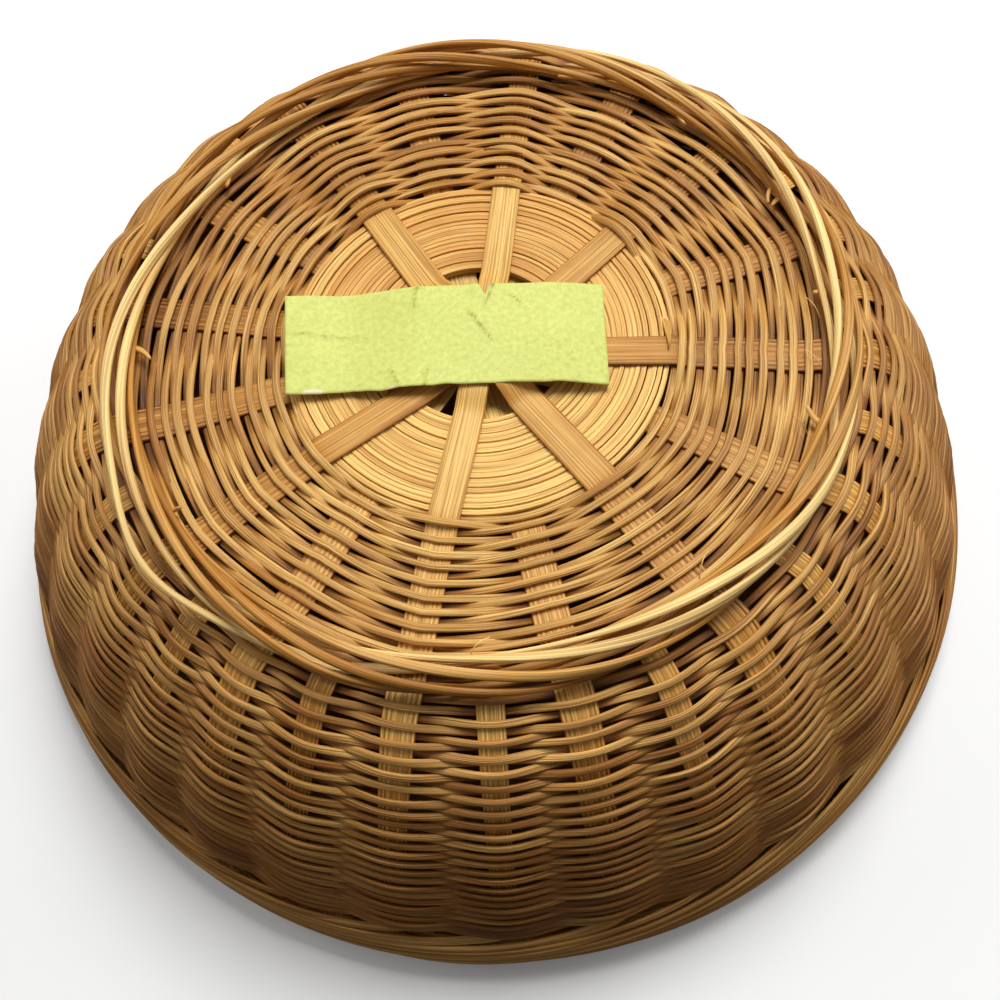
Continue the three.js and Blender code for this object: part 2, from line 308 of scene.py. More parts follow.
# The strips were laid by hand: each is turned a little, passes beside the middle, and bows.
strips = {
    "turns": (2.0, 2.2, 3.0, 1.3, -1.0, -1.5, -1.5, 0.5),
    "shifts": (2.4, 2.7, 2.4, 3.6, 1.2, 0.0, -1.8, -2.4),
    "bows": (-5.3, 0, -5.2, 0, -2.8, 0, 3.1, 0),
    "bowRadius": 85,
    "widthPlaces": (50, 85, 100, 112, 183),
    "widths": (8.8, 9.7, 9.6, 8.9, 8.4),
    "broad": (1, 1, 0.97, 1, 0.9, 1, 1.06, 1),
    "uneven": 0.15,
    "thickness": 1.0,
    "ridges": 8,
    "ridgeDepth": 0.06,
    "endTravel": 186.0,
    "points": 421,
    "hubRadius": 15.2,
    "seatRise": 1.95,
    "layer": 1.1,
    "fall": 6.5,
    "lateShare": 0.3,
    "lateFall": 44,
    "lateRun": 30,
    "tones": (0.42, 0.52, 0.43, 0.5, 0.63, 0.52, 0.42, 0.52),
    "toneDrift": 0.06,
    "edgeTone": 0.25,
    "lineTones": (0.05, 0.26),
    # Painted shade along the strips: the travels, and how much darker they are painted there.
    "paintedShadePlaces": (48, 56, 92, 104, 116, 150),
    "paintedShade": (0, 0.1, 0.14, 0.06, 0.1, 0.5),
    # Painted light: how much paler the inner strips are painted at the hub, and out to where.
    "hubPaintedLight": 0.35,
    "hubPaintedLightRadius": 28,
    # Painted shade on the far ends of the strips.
    "farStripPaintedShade": 0.15,
}
sideStakes = {
    "startTravel": 96.6,
    "width": 6.9,
    "endWidth": 6.6,
    "thickness": 0.95,
    "points": 90,
    "tone": 0.55,
    "toneSpread": 0.08,
    "toneDrift": 0.05,
}
stripTurn = np.radians(strips["turns"])
stripShift = np.array(strips["shifts"])
stripBow = np.array(strips["bows"])


def sideways(strip, radius):  # how far a strip lies beside the line through the middle
    near = 0.5 + 0.5 * np.cos(math.pi * np.minimum(radius / strips["bowRadius"], 1))
    return stripShift[strip] + stripBow[strip] * near


def drift(stake, radius):  # how far the lattice has strayed, at a place counted in spokes
    low = np.floor(stake).astype(int) % spokes
    high = (low + 1) % spokes
    mix = stake - np.floor(stake)
    stray = 0
    for spoke, share in ((low, 1 - mix), (high, mix)):
        strip = spoke % lattice["strips"]
        side = np.where(spoke < lattice["strips"], 1, -1)
        stray = stray + share * (stripTurn[strip] + side * sideways(strip, radius) / radius)
    return stray


def stripLift(strip, travel):  # the strips lie on or under the disc, and stack at the hub
    face = 1 - 2 * (strip % 2)
    climb = smooth((disc["holeRadius"] - travel) / (disc["holeRadius"] - strips["hubRadius"]))
    late = strips["lateShare"]
    seated = (1 - late) * smooth((disc["radius"] + strips["fall"] - travel) / strips["fall"])
    lateStart = disc["radius"] + strips["lateFall"]
    seated = seated + late * smooth((lateStart - travel) / strips["lateRun"])
    return face * (strips["seatRise"] * seated + strip // 2 * strips["layer"] * climb)


stripBamboo = bambooMaterial("stripBamboo", {
    "dark": linear(110, 62, 16), "middle": linear(205, 149, 72), "pale": linear(250, 211, 128),
    "fibreAlong": 0.02, "fibreAcross": 2.2, "streaks": 0.44, "relief": 0.4,
    "blotchScale": 60, "blotchPull": 0.35, "rough": 0.46, "gloss": 0.25,
})
discBamboo = bambooMaterial("discBamboo", {
    "dark": linear(186, 122, 54), "middle": linear(222, 166, 88), "pale": linear(252, 212, 128),
    "fibreAlong": 0.03, "fibreAcross": 2.6, "streaks": 0.38, "relief": 0.4,
    "blotchScale": 45, "blotchPull": 0.35, "rough": 0.5, "gloss": 0.3,
})

# A split face is ridged lengthwise, one to the millimetre or so.
stripStrands = oval(60, 3.6)
ridges = np.cos(stripStrands[:, 0] * strips["ridges"] * math.pi)
stripStrands[:, 1] *= 1 - strips["ridgeDepth"] * ridges


def stripTone(tone, travel):  # painted shade from the disc's edge outwards, under the foot ring and down the side, and darker lines between the ridges
    lines = np.interp(travel, (50, 100), strips["lineTones"])
    paintedShade = np.interp(travel, strips["paintedShadePlaces"], strips["paintedShade"])
    return column(tone - paintedShade) - column(lines) * ridges


for strip in range(lattice["strips"]):
    reach = strips["endTravel"]
    travel = np.linspace(-reach, reach, strips["points"])
    angle = lattice["firstAngle"] + strip * math.pi / lattice["strips"] + stripTurn[strip]
    turned = np.where(travel < 0, angle + math.pi, angle)
    away = np.abs(travel)
    centre, _, normal = onWall(away, turned, stripLift(strip, away))
    centre[:, 0] -= sideways(strip, away) * math.sin(angle)
    centre[:, 1] += sideways(strip, away) * math.cos(angle)
    width = strips["broad"][strip] * np.interp(away, strips["widthPlaces"], strips["widths"])
    width = width + wander(travel + reach, strips["uneven"], 25)
    tone = strips["tones"][strip] + wander(travel + reach, strips["toneDrift"], 20)
    if strip % 2:  # painted light: the inner strips are painted paler where they cross, in the shade at the hub
        tone = tone + strips["hubPaintedLight"] * smooth((strips["hubPaintedLightRadius"] - away) / 6)
    # Painted shade: beyond the disc, the ends on the far side are painted darker.
    far = np.clip(0.75 + 0.75 * np.sin(turned), 0, 1) * smooth((away - 50) / 6)
    tone = tone - strips["farStripPaintedShade"] * far
    tone = stripTone(tone, away) - strips["edgeTone"] * np.abs(stripStrands[:, 0]) ** 5
    strand = sweep(centre, normal, width, strips["thickness"], stripStrands, tone)
    face = ("outer", "inner")[strip % 2]
    makePiece(f"{face}Strip{strip // 2 + 1}", [strand], stripBamboo,
              [f"{face}_strip_{strip // 2 + 1}"])

for spoke in range(spokes):
    travel = np.linspace(sideStakes["startTravel"], strips["endTravel"], sideStakes["points"])
    radius = np.interp(travel, wallTravel, wallRadius)
    angle = lattice["firstAngle"] + (2 * spoke + 1) * stakeAngle + drift(spoke + 0.5, radius)
    centre, _, normal = onWall(travel, angle, 0 * travel)
    share = (travel - travel[0]) / (travel[-1] - travel[0])
    width = sideStakes["width"] + (sideStakes["endWidth"] - sideStakes["width"]) * share
    tone = sideStakes["tone"] + rng.normal(0, sideStakes["toneSpread"])
    tone = tone + wander(travel, sideStakes["toneDrift"], 20)
    tone = stripTone(tone, travel)
    strand = sweep(centre, normal, width, sideStakes["thickness"], stripStrands, tone)
    makePiece(f"sideStake{spoke + 1}", [strand], stripBamboo,
              [f"side_stake_{spoke + 1}"])
print("strips and stakes made")

# The disc: one splint wound on edge, its turns a little uneven.
place = np.linspace(0, disc["turns"] + 1, (disc["turns"] + 1) * disc["steps"] + 1)
pitch = (disc["radius"] - disc["holeRadius"]) / (disc["turns"] + 1)
step = disc["step"] * wander(place, 1, 0.21)
thinned = np.clip(place - disc["turns"], 0, 1)  # the last turn tapers, so the edge is round
radius = disc["holeRadius"] + pitch * (place + 0.5 - thinned / 2)
radius = radius + disc["uneven"] * (1 - thinned) * wander(place, 1, 0.9)
centre = outward(2 * math.pi * place) * column(radius)
centre[:, 2] = wall["baseHeight"] + step
splint = pitch - disc["gap"] + wander(place, disc["splintUneven"], 0.7)
splint = splint * (1 - thinned) + disc["endWidth"] * thinned
# Painted light: the disc is painted paler towards the front and darker towards the back.
tone = disc["tone"] + disc["paintedLightAround"] * np.cos(2 * math.pi * place - disc["paintedLightFacing"])
for spread, every in zip(disc["toneSpreads"], (0.35, 1.3)):
    tone = tone + wander(place, spread, every)
coil = sweep(centre, np.tile(up, (len(place), 1)), splint, disc["height"], oval(24, 8),
             column(tone))
makePiece("woundDisc", [coil], discBamboo, ["wound_disc"])
print("disc wound")

baseWeave = {
    "stakes": spokes,
    "rows": 24,
    "startTravel": 51.0,
    "endTravel": 95.8,
    "packing": 1.0,
    "widths": (2.2, 2.25),
    "farWidth": 0.14,
    "thickness": 1.3,
    "lifts": (1.3, 1.35),
    "slack": 0.16,
    "straight": 0.2,
    "wave": 1.1,
    "drift": 0.32,
    "lean": 0.1,
    "twist": 0.3,
    "crossings": 16,
    "frayed": 0.25,
    "steps": 12,
    "tones": (0.49, 0.45),
    "farPaintedShade": 0.07,
    "toneSpread": 0.06,
    "underPaintedShade": 0.26,
    "paintedShade": 0.15,
}
sideWeave = {
    "stakes": stakes,
    "rows": 47,
    "startTravel": 96.6,
    "endTravel": 184.4,
    "packing": 0.88,
    "widths": (2.3, 2.25),
    "farWidth": 0.11,
    "thickness": 1.15,
    "lifts": (1.15, 1.4),
    "slack": 0.18,
    "straight": 0.7,
    "wave": 0.35,
    "drift": 0.2,
    "lean": 0.05,
    "twist": -0.4,
    "crossings": 24,
    "frayed": 0.12,
    "steps": 10,
    # painted shade: the side's rows are painted darker down towards the mouth
    "tones": (0.54, 0.25),
    "farPaintedShade": 0.0,
    "toneSpread": 0.065,
    "underPaintedShade": 0.36,
    "paintedShade": 0.2,
}
splints = {  # the lengths that both weaves are laid in
    "overlap": 0.3,
    "cutSpread": 0.35,
    "looseEnd": 0.5,
    "endSway": 0.9,
    "endLift": 0.3,
    "widths": (0.88, 1.1),
    "midWidth": 1.03,
    "waist": 0.07,
    "uneven": 0.05,
    "tilt": 0.1,
    "toneDrift": 0.07,
    "paintedShadePlaces": (84, 92, 98, 103),  # painted shade beside and under the foot ring
}


def seatAt(stake, travel):  # how far the strips lift the base weave beside the disc
    low = np.floor(stake)
    mix = smooth(stake - low)
    return (1 - mix) * stripLift(low.astype(int) % 2, travel) + mix * stripLift(
        (low.astype(int) + 1) % 2, travel)


def weaver(look, number, section):
    around = look["stakes"]
    passes = look["rows"] * around // 2
    place = np.arange(passes * look["steps"] + 1) / look["steps"]
    stake = place + number * around / 2
    nearest = np.round(stake)
    face = np.where((nearest + number) % 2 == 0, 1, -1)
    rise = face * np.cos(math.pi * (stake - nearest))
    share = (2 * place / around / look["rows"]) ** look["packing"]
    rowTravel = look["startTravel"] + (look["endTravel"] - look["startTravel"]) * share
    spacing = 2 * math.pi / around
    radius = np.interp(rowTravel, wallTravel, wallRadius)
    angle = lattice["firstAngle"] + stake * spacing + drift(stake * spokes / around, radius)
    drop = look["straight"] * radius * spacing ** 2 / 8 * (1 - rise ** 2)
    wave = np.interp(stake % around, np.arange(around + 1), look["waves"])
    rowDrift = wander(place, look["drift"], 2.3) + wave * np.sin(math.pi * share) ** 0.7
    rowWidth = np.interp(share, [0, 1], look["widths"])
    rowLift = np.interp(share, [0, 1], look["lifts"])
    cuts = np.arange(1, passes // look["crossings"] - 1) * look["crossings"]
    cutSpread = splints["cutSpread"]
    cuts = cuts + rng.uniform(-cutSpread, cutSpread, len(cuts)) * look["crossings"]
    hidden = 2 * np.round(cuts / 2) + 1 - number  # most lengths begin and end behind a stake
    cuts = np.where(rng.random(len(cuts)) < look["frayed"], cuts, hidden)
    strands = []
    start = 0
    for end in np.append(cuts, passes):
        part = (place >= start - splints["overlap"]) & (place <= end + splints["overlap"])
        here = place[part] - place[part][0]
        loose = smooth(1 - here / splints["looseEnd"])
        loose = loose + smooth(1 - (here[-1] - here) / splints["looseEnd"])
        travel = rowTravel[part] + rowDrift[part] + wander(here, 0.5 * look["drift"], 1.7)
        travel = travel + rng.uniform(-splints["endSway"], splints["endSway"]) * loose
        lift = rise[part] * rowLift[part] * (1 + wander(here, look["slack"], 1.3))
        lift = lift + splints["endLift"] * loose * np.sign(rise[part])
        if around == spokes:
            lift = lift + seatAt(stake[part], travel)
        centre, downhill, normal = onWall(travel, angle[part], lift)
        centre = centre - outward(angle[part]) * column(drop[part])
        tilt = look["lean"] + look["twist"] * (1 - np.abs(rise[part]))
        tilt = tilt + wander(here, splints["tilt"], 1.1)
        leaning = normal * column(np.cos(tilt)) + downhill * column(np.sin(tilt))
        width = rowWidth[part] * (1 + look["farWidth"] * np.sin(angle[part]))
        width = width * rng.uniform(*splints["widths"])
        waist = splints["midWidth"] - splints["waist"] * np.abs(rise[part])
        width = width * (waist + wander(here, splints["uneven"], 1.9))
        width = width * smooth(0.25 + 2 * np.minimum(here, here[-1] - here))
        # The tone runs from the first row's to the last's; on the side this is painted shade,
        # darker down towards the mouth.
        tone = np.interp(share[part], [0, 1], look["tones"]) + rng.normal(0, look["toneSpread"])
        tone = tone + wander(here, splints["toneDrift"], 1.0)
        # Painted shade: where a length passes under a stake it is painted darker.
        tone = tone - look["underPaintedShade"] * smooth(-1.3 * rise[part])
        # Painted shade: the far side of the base is painted darker.
        tone = tone - look["farPaintedShade"] * np.sin(angle[part])
        # Painted shade beside and under the foot ring.
        tone = tone - look["paintedShade"] * np.interp(travel, splints["paintedShadePlaces"], (0, 1, 1, 0))
        strands.append(sweep(centre, leaning, width, look["thickness"], section, column(tone)))
        start = end
    return strands


for look in (baseWeave, sideWeave):  # the rows rise and fall a little on their way round
    waves = rng.normal(0, look["wave"], look["stakes"])
    look["waves"] = np.append(waves, waves[0])

weaveLook = {
    "dark": linear(112, 67, 16), "middle": linear(191, 134, 58), "pale": linear(249, 208, 128),
    "fibreAlong": 0.015, "fibreAcross": 2.8, "streaks": 0.56, "relief": 0.8,
    "blotchScale": 40, "blotchPull": 0.4, "rough": 0.4, "gloss": 0.42,
}
baseBamboo = bambooMaterial("baseWeaveBamboo", weaveLook)
# Painted shade: the side weave's palette is a darker copy of the base weave's.
sideShadedBamboo = bambooMaterial("sideWeaveShadedBamboo", {
    **weaveLook,
    "dark": linear(92, 51, 9), "middle": linear(174, 115, 46), "pale": linear(244, 195, 113),
})
for number in (0, 1):
    strands = weaver(baseWeave, number, oval(12, 3.0))
    makePiece(f"baseWeaver{number + 1}", strands, baseBamboo,
              [f"base_weaver_{number + 1}"])
    strands = weaver(sideWeave, number, oval(12, 3.4))
    makePiece(f"sideWeaver{number + 1}", strands, sideShadedBamboo,
              [f"side_weaver_{number + 1}"])
print("weavers made")

# The foot ring: sixteen lengths of cane, each climbing inside, crossing and diving outside.
footRing = {
    "strands": 16,
    "radii": (96.2, 97.6, 97.6, 96.4, 95.3, 95.0, 95.6, 95.5, 95.0, 92.9, 92.8, 94.3),
    "height": 99.6,
    "spread": 3.8,
    "spreadUneven": 0.3,
    "rise": 3.3,
    "riseUneven": 0.25,
    "lay": (-95, 265),  # degrees round the ring's own section
    "points": 110,
    "run": 60,
    "firstAngle": 5,
    "angleUneven": 1.5,
    "width": 2.55,
    "widthSpread": (0.85, 1.1),
    "widthUneven": 0.08,
    "thickness": 1.75,
    "uneven": 0.5,
    "loose": 6,  # this length runs on farther than the others and bows out at one place
    "looseRun": 1.25,
    "bow": 4.2,
    "bowAngle": 214,
    "bowReach": 12,
    "tones": (0.83, 0.44, 0.41, 0.28, 0.26, 0.36, 0.89, 0.74,
              0.28, 0.22, 0.46, 0.81, 0.89, 0.41, 0.31, 0.83),
    "toneDrift": 0.06,
}
stubs = {  # cut ends that stick out on the ring's inner side
    "angles": (2, 22, 24.5, 47.5, 65.5, 137, 176, 208, 337),
    "lengths": (3.5, 6),
    "bend": 5,
    "height": 97.6,
    "rise": (0.8, 2.0),
    "widths": (1.3, 2.0),
    "thickness": 1.0,
    "tones": (0.35, 0.6),
}
hairs = {  # a few hair-thin fibres that hang from the ring
    "count": 5,
    "firstAngle": 264,
    "reach": (3, 6),
    "height": 95.6,
    "rise": (1.5, 3.5),
    "width": 0.34,
    "taper": 0.15,
    "thickness": 0.25,
    "tone": 0.95,
}
footCane = bambooMaterial("footCane", {
    "dark": linear(136, 80, 20), "middle": linear(204, 146, 64), "pale": linear(252, 218, 146),
    "fibreAlong": 0.01, "fibreAcross": 1.9, "streaks": 0.42, "relief": 0.6,
    "blotchScale": 30, "blotchPull": 0.3, "rough": 0.42, "gloss": 0.35,
})
cane = oval(12, 2.5)
strands = []
for strand in range(footRing["strands"]):
    lay = np.radians(np.linspace(*footRing["lay"], footRing["points"]))
    place = np.linspace(0, 9, len(lay))
    turn = footRing["firstAngle"] + strand * 360 / footRing["strands"]
    run = footRing["run"] * (footRing["looseRun"] if strand == footRing["loose"] else 1)
    turn = turn + rng.normal(0, footRing["angleUneven"]) + run * np.degrees(lay) / 180
    turn = np.radians(turn)
    spread = footRing["spread"] + rng.normal(0, footRing["spreadUneven"])
    radius = aroundBy(footRing["radii"], turn) - spread * np.cos(lay)
    radius = radius + wander(place, footRing["uneven"], 2.5)
    if strand == footRing["loose"]:
        past = (np.degrees(turn) - footRing["bowAngle"]) / footRing["bowReach"]
        radius = radius + footRing["bow"] * np.exp(-past ** 2)
    height = footRing["height"] + footRing["rise"] * np.sin(lay)
    height = height + wander(place, footRing["riseUneven"], 3)
    centre = outward(turn) * column(radius) + up * column(height)
    normal = up * column(np.sin(lay)) - outward(turn) * column(np.cos(lay))
    width = footRing["width"] * rng.uniform(*footRing["widthSpread"])
    width = width + wander(place, footRing["widthUneven"], 2)
    width = width * smooth(0.4 + np.minimum(place, 9 - place))
    tone = column(footRing["tones"][strand] + wander(place, footRing["toneDrift"], 2))
    strands.append(sweep(centre, normal, width, footRing["thickness"], cane, tone))
for turn in stubs["angles"]:
    share = np.linspace(0, 1, 8)
    reach = rng.uniform(*stubs["lengths"])
    bend = rng.uniform(-stubs["bend"], stubs["bend"])
    angle = np.radians(turn + bend * share ** 2)
    radius = aroundBy(footRing["radii"], angle) - footRing["spread"] + 1
    centre = outward(angle) * column(radius - reach * share)
    centre[:, 2] = stubs["height"] + rng.uniform(*stubs["rise"]) * share ** 1.5
    width = rng.uniform(*stubs["widths"]) * (1 - 0.45 * share ** 2)
    tone = rng.uniform(*stubs["tones"])
    strands.append(sweep(centre, np.tile(up, (8, 1)), width, stubs["thickness"], cane, tone))
for hair in range(hairs["count"]):
    share = np.linspace(0, 1, 14)
    turn = math.radians(hairs["firstAngle"]) if hair == 0 else rng.uniform(0, 2 * math.pi)
    angle = turn + 0.02 * share + rng.uniform(-0.06, 0.06) * share ** 2
    radius = aroundBy(footRing["radii"], angle) - footRing["spread"]
    centre = outward(angle) * column(radius - 1.5 - rng.uniform(*hairs["reach"]) * share)
    centre[:, 2] = hairs["height"] + rng.uniform(*hairs["rise"]) * np.sin(share * 2.6)
    width = hairs["width"] - hairs["taper"] * share
    strands.append(sweep(centre, np.tile(up, (14, 1)), width, hairs["thickness"], cane,
                         hairs["tone"]))
makePiece("footRing", strands, footCane,
          ["foot_core"] + [f"foot_strand_{k + 1}" for k in range(5)])
print("foot ring laid")

# The rim: each stake's end turns aside, runs down the outside of the border and under it.
rim = {
    "splints": 2,
    "width": 2.1,
    "bentWidth": 2.9,
    "thickness": 1.25,
    "bentThickness": 0.9,
    "points": 110,
    # Where a bent end leaves the wall: the travel down it and which way its face looks.
    "start": ((172, 28), (178, 24), (182.5, 22)),
    # How far it has turned after that, its radius and height there, and its face again.
    "path": ((-4, 145.1, 22.0, 25), (-13, 146.6, 19.8, 22), (-25, 148.0, 16.6, 18),
             (-40, 149.0, 12.6, 8), (-55, 149.4, 8.9, -5), (-69, 148.9, 5.5, -25),
             (-83, 147.2, 2.7, -55), (-97, 144.4, 0.9, -90), (-111, 141.7, 1.7, -130),
             (-125, 140.2, 4.2, -165)),
    "bendTurns": (-14, -1),
    "turnUneven": 0.7,
    "heightUneven": 0.35,
    "sway": 0.2,
    "widthSpread": (0.9, 1.1),
    "tone": 0.52,
    "toneSpread": 0.13,
    "toneDrift": 0.04,
}
rimCane = bambooMaterial("rimCane", {
    "dark": linear(106, 62, 24), "middle": linear(168, 114, 52), "pale": linear(228, 178, 104),
    "fibreAlong": 0.01, "fibreAcross": 2.4, "streaks": 0.5, "relief": 0.6,
    "blotchScale": 30, "blotchPull": 0.35, "rough": 0.46, "gloss": 0.3,
})
strands = []
for stake in np.arange(0, stakes, 1 / rim["splints"]):
    controls = []
    for travel, lean in rim["start"]:
        radius = np.interp(travel, wallTravel, wallRadius)
        controls.append((0, radius, np.interp(travel, wallTravel, wallHeight), lean))
    low = rng.normal(0, rim["heightUneven"])
    for turn, radius, height, lean in rim["path"]:
        sway = rng.normal(0, rim["sway"])
        turn = turn + rng.normal(0, rim["turnUneven"])
        controls.append((turn, radius + sway, height + low + sway, lean))
    turn, radius, height, lean = spline(controls, rim["points"]).T
    # A stake's second splint leaves close beside the first, and they part as they turn.
    own = np.floor(stake) + (stake % 1) * np.interp(turn, [-30, -6], [1, 0.28])
    angle = lattice["firstAngle"] + own * stakeAngle + np.radians(turn)
    angle = angle + drift(np.full(len(turn), stake / 2), radius) + lateTurn(angle, 200)
    height = np.maximum(height, rim["thickness"] / 2 + 0.05)
    centre = outward(angle) * column(radius) + up * column(height)
    lean = np.radians(lean)
    normal = outward(angle) * column(np.cos(lean)) + up * column(np.sin(lean))
    width = np.interp(turn, rim["bendTurns"], [rim["width"], rim["bentWidth"]])
    width = width * rng.uniform(*rim["widthSpread"])
    thickness = np.interp(turn, rim["bendTurns"], [rim["thickness"], rim["bentThickness"]])
    place = np.linspace(0, 9, len(turn))
    tone = rim["tone"] + rng.normal(0, rim["toneSpread"]) + wander(place, rim["toneDrift"], 2)
    strands.append(sweep(centre, normal, width, thickness, cane, column(tone)))
makePiece("rimBorder", strands, rimCane,
          ["rim_core"] + [f"rim_strand_{k + 1}" for k in range(5)])
print("rim border bent")

# The paper slip over the hub, left blank.
label = {
    "length": 84.4,
    "width": 30.5,
    "thickness": 0.3,
    "points": (121, 41),
    "middle": (-8.4, 0.0),
    "turn": math.radians(-3.9),
    "endHeight": 96.75,
    "hubHeight": 99.95,
    "hubPlace": 8.9,
    "climb": 24.0,
    "endLift": 1.3,
    "ragged": (0.12, 0.22),
    "tear": (10.4, 3.4, 0.9),  # its place, depth and half width
    "buckle": 0.18,
    "creaseDark": 0.5,
    # Where a crease crosses the slip's middle line, its slope, height and half width, and the
    # part of the width that it runs over.
    "creases": ((-9.5, 0.12, 0.32, 0.4, 6, 18), (-19.5, -0.5, 0.4, 0.4, -18, -8),
                (7.5, 0.35, 0.4, 0.5, 7, 18), (-4, 0.1, 0.24, 0.4, -18, -9),
                (10.5, -0.6, 0.24, 0.5, -4, 9), (28, -0.9, 0.28, 0.5, 6, 14)),
    # Where the lower edge is worn pale: place, half width, how high up and how much.
    "wornEdge": ((-35, 3, -13.4, 0.7), (-14, 1.5, -14, 0.6)),
}


def makeLabel():
    across, high = label["points"]
    x = np.linspace(-0.5, 0.5, across) * label["length"]
    tearPlace, tearDepth, tearReach = label["tear"]
    topEdge = label["width"] / 2 + wander(np.arange(across) / 10, label["ragged"][0], 1.0)
    topEdge = topEdge - tearDepth * np.exp(-((x - tearPlace) / tearReach) ** 2)
    lowEdge = -label["width"] / 2 + wander(np.arange(across) / 10, label["ragged"][1], 0.6)
    share = np.linspace(0, 1, high)
    y = lowEdge[:, None] + (topEdge - lowEdge)[:, None] * share
    climb = label["climb"] + strips["hubRadius"] - np.abs(x - label["hubPlace"])
    climb = smooth(climb / label["climb"])
    z = label["endHeight"] + (label["hubHeight"] - label["endHeight"]) * climb
    z = z + label["endLift"] * smooth((-24 - x) / 14)
    along = x[:, None]
    z = z[:, None] + label["buckle"] * np.sin(along / 9 + y / 6)
    # An old fold, and the flap that stands up beside the tear.
    z = z + 0.16 * np.exp(-np.abs(along + 8 - y * 0.05) / 0.6)
    z = z + 0.5 * smooth((y - 10) / 5) * np.exp(-((along - 8) / 2) ** 2)
    creaseDark = 0.0
    for at, slope, lift, fine, start, end in label["creases"]:
        seen = smooth((y - start) / 3) * smooth((end - y) / 3)
        fold = seen * np.exp(-np.abs(along - at - y * slope) / fine)
        z = z + lift * fold
        # The creases are coloured darker.
        creaseDark = creaseDark + label["creaseDark"] * fold * smooth(0.75 + 0.25 * np.sin(1.7 * y + at))
    longCrease = np.exp(-np.abs(y + 1.5 + 0.12 * along) / 0.4) * smooth((-16 - along) / 12)
    z = z + 0.25 * longCrease
    creaseDark = creaseDark + 0.6 * label["creaseDark"] * longCrease
    wearAndShade = 0.25 * np.exp(-((along - 30) / 10) ** 2 - ((y - 9) / 6) ** 2)
    for at, reach, height, amount in label["wornEdge"]:
        wearAndShade = wearAndShade + amount * smooth((height - y) / 1.2) * np.exp(-((along - at) / reach) ** 2)
    # Painted shade: the right end is painted a little darker; the creases are darker too.
    wearAndShade = wearAndShade - creaseDark - 0.06 * smooth((along - 12) / 16)
    cos, sin = math.cos(label["turn"]), math.sin(label["turn"])
    x = along - 0.055 * (y + 15) * smooth((-18 - along) / 24)  # its left end leans
    flat = np.stack([label["middle"][0] + x * cos - y * sin,
                     label["middle"][1] + x * sin + y * cos, z], -1)
    points = np.stack([flat, flat - up * label["thickness"]], 0).reshape(-1, 3)
    index = np.arange(across * high).reshape(across, high)
    top = np.stack([index[:-1, :-1], index[1:, :-1], index[1:, 1:], index[:-1, 1:]], -1)
    top = top.reshape(-1, 4)
    border = np.concatenate([index[:, 0], index[-1, 1:], index[-2::-1, -1], index[0, -2:0:-1]])
    after = np.roll(border, -1)
    below = across * high
    skirt = np.stack([border, border + below, after + below, after], -1)
    quads = np.concatenate([top, top[:, ::-1] + below, skirt])
    corners = points[quads].reshape(-1, 3)
    return {"points": points, "quads": quads, "grain": corners[:, :2],
            "tone": np.append(wearAndShade, wearAndShade)}


paperLook = {
    "dirty": linear(142, 134, 52),
    "middle": linear(203, 207, 109),
    "pale": linear(219, 224, 126),
    "bare": linear(232, 228, 180),
    "mottleScale": 700,
    "rough": 0.6,
    "gloss": 0.3,
    "relief": 0.2,
}


def paperMaterial(name):
    material = bpy.data.materials.new(name)
    material.use_nodes = True
    nodes, links = material.node_tree.nodes, material.node_tree.links
    shader = nodes["Principled BSDF"]
    shader.inputs["Roughness"].default_value = paperLook["rough"]
    shader.inputs["Specular IOR Level"].default_value = paperLook["gloss"]
    place = nodes.new("ShaderNodeTexCoord")
    mottle = nodes.new("ShaderNodeTexNoise")
    mottle.inputs["Scale"].default_value = paperLook["mottleScale"]
    mottle.inputs["Detail"].default_value = 8
    mottle.inputs["Roughness"].default_value = 0.7
    links.new(place.outputs["Object"], mottle.inputs["Vector"])
    tint = nodes.new("ShaderNodeValToRGB")
    tint.color_ramp.elements[0].position = 0.0
    tint.color_ramp.elements[0].color = paperLook["dirty"]
    tint.color_ramp.elements[1].position = 0.62
    tint.color_ramp.elements[1].color = paperLook["pale"]
    tint.color_ramp.elements.new(0.36).color = paperLook["middle"]
    # The tone holds real wear, darker creases and painted shade at the right end.
    paperWearShade = nodes.new("ShaderNodeAttribute")
    paperWearShade.attribute_name = "tone"
    crease = nodes.new("ShaderNodeMath")
    crease.operation = "MINIMUM"
    crease.inputs[1].default_value = 0
    links.new(paperWearShade.outputs["Fac"], crease.inputs[0])
    darker = nodes.new("ShaderNodeMath")
    links.new(mottle.outputs["Fac"], darker.inputs[0])
    links.new(crease.outputs["Value"], darker.inputs[1])
    links.new(darker.outputs["Value"], tint.inputs["Fac"])
    bare = nodes.new("ShaderNodeMath")
    bare.operation = "MULTIPLY_ADD"
    bare.inputs[1].default_value = 3.2
    links.new(paperWearShade.outputs["Fac"], bare.inputs[0])
    links.new(mottle.outputs["Fac"], bare.inputs[2])
    edge = nodes.new("ShaderNodeMapRange")
    edge.inputs["From Min"].default_value = 1.25
    edge.inputs["From Max"].default_value = 2.0
    links.new(bare.outputs["Value"], edge.inputs["Value"])
    paper = nodes.new("ShaderNodeMix")
    paper.data_type = "RGBA"
    paper.inputs["B"].default_value = paperLook["bare"]
    links.new(edge.outputs["Result"], paper.inputs["Factor"])
    links.new(tint.outputs["Color"], paper.inputs["A"])
    links.new(paper.outputs["Result"], shader.inputs["Base Color"])
    bump = nodes.new("ShaderNodeBump")
    bump.inputs["Strength"].default_value = paperLook["relief"]
    bump.inputs["Distance"].default_value = 0.0004
    links.new(mottle.outputs["Fac"], bump.inputs["Height"])
    links.new(bump.outputs["Normal"], shader.inputs["Normal"])
    return material


makePiece("paperLabel", [makeLabel()], paperMaterial("labelPaper"), ["label"])
print("label laid")

